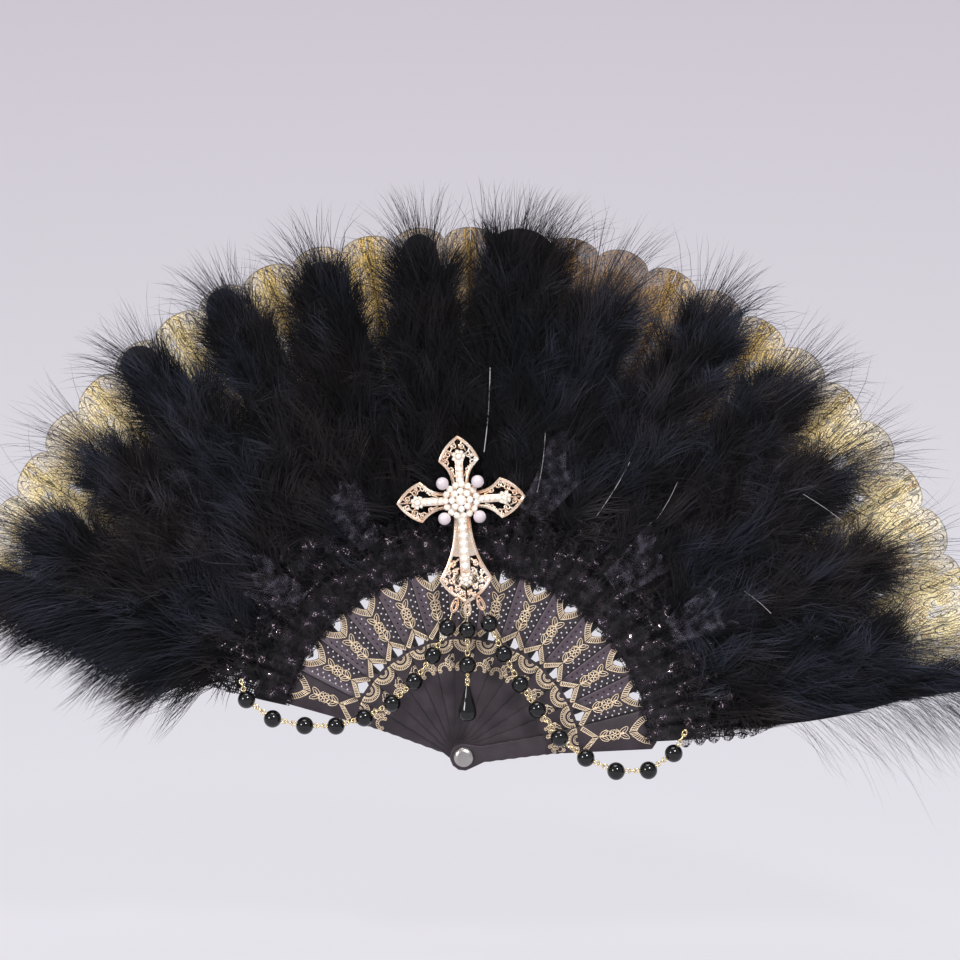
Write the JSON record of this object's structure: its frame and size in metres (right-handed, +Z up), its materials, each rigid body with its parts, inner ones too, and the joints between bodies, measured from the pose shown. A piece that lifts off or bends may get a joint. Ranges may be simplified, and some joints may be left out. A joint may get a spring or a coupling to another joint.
{
  "type": "feather fan",
  "caption": "Folding hand fan with pierced printed sticks, a pleated leaf, black plumes, a lace ruffle, a jewelled cross, bead swags and a hanging drop.",
  "frame": {"origin": "on the rivet's axis, in the middle of the stack of sticks, where the hand holds the fan", "axes": "+X to the right across the open fan, -Y to the front that shows the plumes and the cross, +Z up"},
  "size_m": [0.4761, 0.0313, 0.2689],
  "materials": {
    "stick_plastic": "satin",
    "rivet_metal": "satin",
    "leaf_cloth": "sheer black cloth with a woven yellow gold pattern",
    "plume_down": "soft black down",
    "lace_net": "black floral lace with small glints",
    "rose_gold": "polished",
    "crystal": "faceted, with satin pearls",
    "black_beads": "high gloss, on pale gold wire"
  },
  "bodies": {
    "guard_front": {"guard_front": "stick_plastic", "rivet_pin": "rivet_metal", "rivet_burr": "rivet_metal", "plume_00": "plume_down"},
    "rib_01": {"rib_01": "stick_plastic", "leaf_01": "leaf_cloth", "plume_01": "plume_down", "lace_01": "lace_net"},
    "rib_02": {"rib_02": "stick_plastic", "leaf_02": "leaf_cloth", "plume_02": "plume_down"},
    "rib_03": {"rib_03": "stick_plastic", "leaf_03": "leaf_cloth", "plume_03": "plume_down", "lace_02": "lace_net"},
    "rib_04": {"rib_04": "stick_plastic", "leaf_04": "leaf_cloth", "plume_04": "plume_down"},
    "rib_05": {"rib_05": "stick_plastic", "leaf_05": "leaf_cloth", "plume_05": "plume_down", "lace_03": "lace_net"},
    "rib_06": {"rib_06": "stick_plastic", "leaf_06": "leaf_cloth", "plume_06": "plume_down"},
    "rib_07": {"rib_07": "stick_plastic", "leaf_07": "leaf_cloth", "plume_07": "plume_down", "lace_04": "lace_net", "cross_frame": "rose_gold", "cross_stones": "crystal", "bead_swag_left": "black_beads", "bead_swag_right": "black_beads"},
    "rib_08": {"rib_08": "stick_plastic", "leaf_08": "leaf_cloth", "plume_08": "plume_down"},
    "rib_09": {"rib_09": "stick_plastic", "leaf_09": "leaf_cloth", "plume_09": "plume_down", "lace_05": "lace_net"},
    "rib_10": {"rib_10": "stick_plastic", "leaf_10": "leaf_cloth", "plume_10": "plume_down"},
    "rib_11": {"rib_11": "stick_plastic", "leaf_11": "leaf_cloth", "plume_11": "plume_down", "lace_06": "lace_net"},
    "rib_12": {"rib_12": "stick_plastic", "leaf_12": "leaf_cloth", "plume_12": "plume_down"},
    "guard_back": {"guard_back": "stick_plastic", "leaf_13": "leaf_cloth", "plume_13": "plume_down", "plume_14": "plume_down", "lace_07": "lace_net"},
    "pendant_beads": {"pendant_beads": "black_beads"},
    "pendant_drop": {"pendant_drop": "black_beads"}
  },
  "joints": [
    {"name": "fold_01", "type": "hinge", "parent": "guard_front", "child": "rib_01", "pos_m": [0, 0, 0], "axis": [0, 1, 0], "range_deg": [0, 11.54], "deforming": ["leaf_01", "plume_01", "plume_00", "lace_01"]},
    {"name": "fold_02", "type": "hinge", "parent": "rib_01", "child": "rib_02", "pos_m": [0, 0, 0], "axis": [0, 1, 0], "range_deg": [0, 11.54], "deforming": ["leaf_02", "plume_02"]},
    {"name": "fold_03", "type": "hinge", "parent": "rib_02", "child": "rib_03", "pos_m": [0, 0, 0], "axis": [0, 1, 0], "range_deg": [0, 11.54], "deforming": ["leaf_03", "plume_03", "lace_02"]},
    {"name": "fold_04", "type": "hinge", "parent": "rib_03", "child": "rib_04", "pos_m": [0, 0, 0], "axis": [0, 1, 0], "range_deg": [0, 11.54], "deforming": ["leaf_04", "plume_04"]},
    {"name": "fold_05", "type": "hinge", "parent": "rib_04", "child": "rib_05", "pos_m": [0, 0, 0], "axis": [0, 1, 0], "range_deg": [0, 11.54], "deforming": ["leaf_05", "plume_05", "lace_03"]},
    {"name": "fold_06", "type": "hinge", "parent": "rib_05", "child": "rib_06", "pos_m": [0, 0, 0], "axis": [0, 1, 0], "range_deg": [0, 11.54], "deforming": ["leaf_06", "plume_06"]},
    {"name": "fold_07", "type": "hinge", "parent": "rib_06", "child": "rib_07", "pos_m": [0, 0, 0], "axis": [0, 1, 0], "range_deg": [0, 11.54], "deforming": ["leaf_07", "plume_07", "lace_04", "bead_swag_left", "bead_swag_right"]},
    {"name": "fold_08", "type": "hinge", "parent": "rib_07", "child": "rib_08", "pos_m": [0, 0, 0], "axis": [0, 1, 0], "range_deg": [0, 11.54], "deforming": ["leaf_08", "plume_08"]},
    {"name": "fold_09", "type": "hinge", "parent": "rib_08", "child": "rib_09", "pos_m": [0, 0, 0], "axis": [0, 1, 0], "range_deg": [0, 11.54], "deforming": ["leaf_09", "plume_09", "lace_05"]},
    {"name": "fold_10", "type": "hinge", "parent": "rib_09", "child": "rib_10", "pos_m": [0, 0, 0], "axis": [0, 1, 0], "range_deg": [0, 11.54], "deforming": ["leaf_10", "plume_10"]},
    {"name": "fold_11", "type": "hinge", "parent": "rib_10", "child": "rib_11", "pos_m": [0, 0, 0], "axis": [0, 1, 0], "range_deg": [0, 11.54], "deforming": ["leaf_11", "plume_11", "lace_06"]},
    {"name": "fold_12", "type": "hinge", "parent": "rib_11", "child": "rib_12", "pos_m": [0, 0, 0], "axis": [0, 1, 0], "range_deg": [0, 11.54], "deforming": ["leaf_12", "plume_12"]},
    {"name": "fold_13", "type": "hinge", "parent": "rib_12", "child": "guard_back", "pos_m": [0, 0, 0], "axis": [0, 1, 0], "range_deg": [0, 11.54], "deforming": ["leaf_13", "plume_13", "plume_14", "lace_07"]},
    {"name": "pendant_swing", "type": "hinge", "parent": "rib_07", "child": "pendant_beads", "pos_m": [0.0018, -0.0132, 0.0704], "axis": [0, 1, 0], "range_deg": [-25, 25]},
    {"name": "drop_swing", "type": "hinge", "parent": "pendant_beads", "child": "pendant_drop", "pos_m": [0.0018, -0.0132, 0.0349], "axis": [0, 1, 0], "range_deg": [-40, 40]}
  ],
  "couplings": [
    {"joint": "fold_02", "follows": "fold_01", "ratio": 1},
    {"joint": "fold_03", "follows": "fold_01", "ratio": 1},
    {"joint": "fold_04", "follows": "fold_01", "ratio": 1},
    {"joint": "fold_05", "follows": "fold_01", "ratio": 1},
    {"joint": "fold_06", "follows": "fold_01", "ratio": 1},
    {"joint": "fold_07", "follows": "fold_01", "ratio": 1},
    {"joint": "fold_08", "follows": "fold_01", "ratio": 1},
    {"joint": "fold_09", "follows": "fold_01", "ratio": 1},
    {"joint": "fold_10", "follows": "fold_01", "ratio": 1},
    {"joint": "fold_11", "follows": "fold_01", "ratio": 1},
    {"joint": "fold_12", "follows": "fold_01", "ratio": 1},
    {"joint": "fold_13", "follows": "fold_01", "ratio": 1}
  ]
}
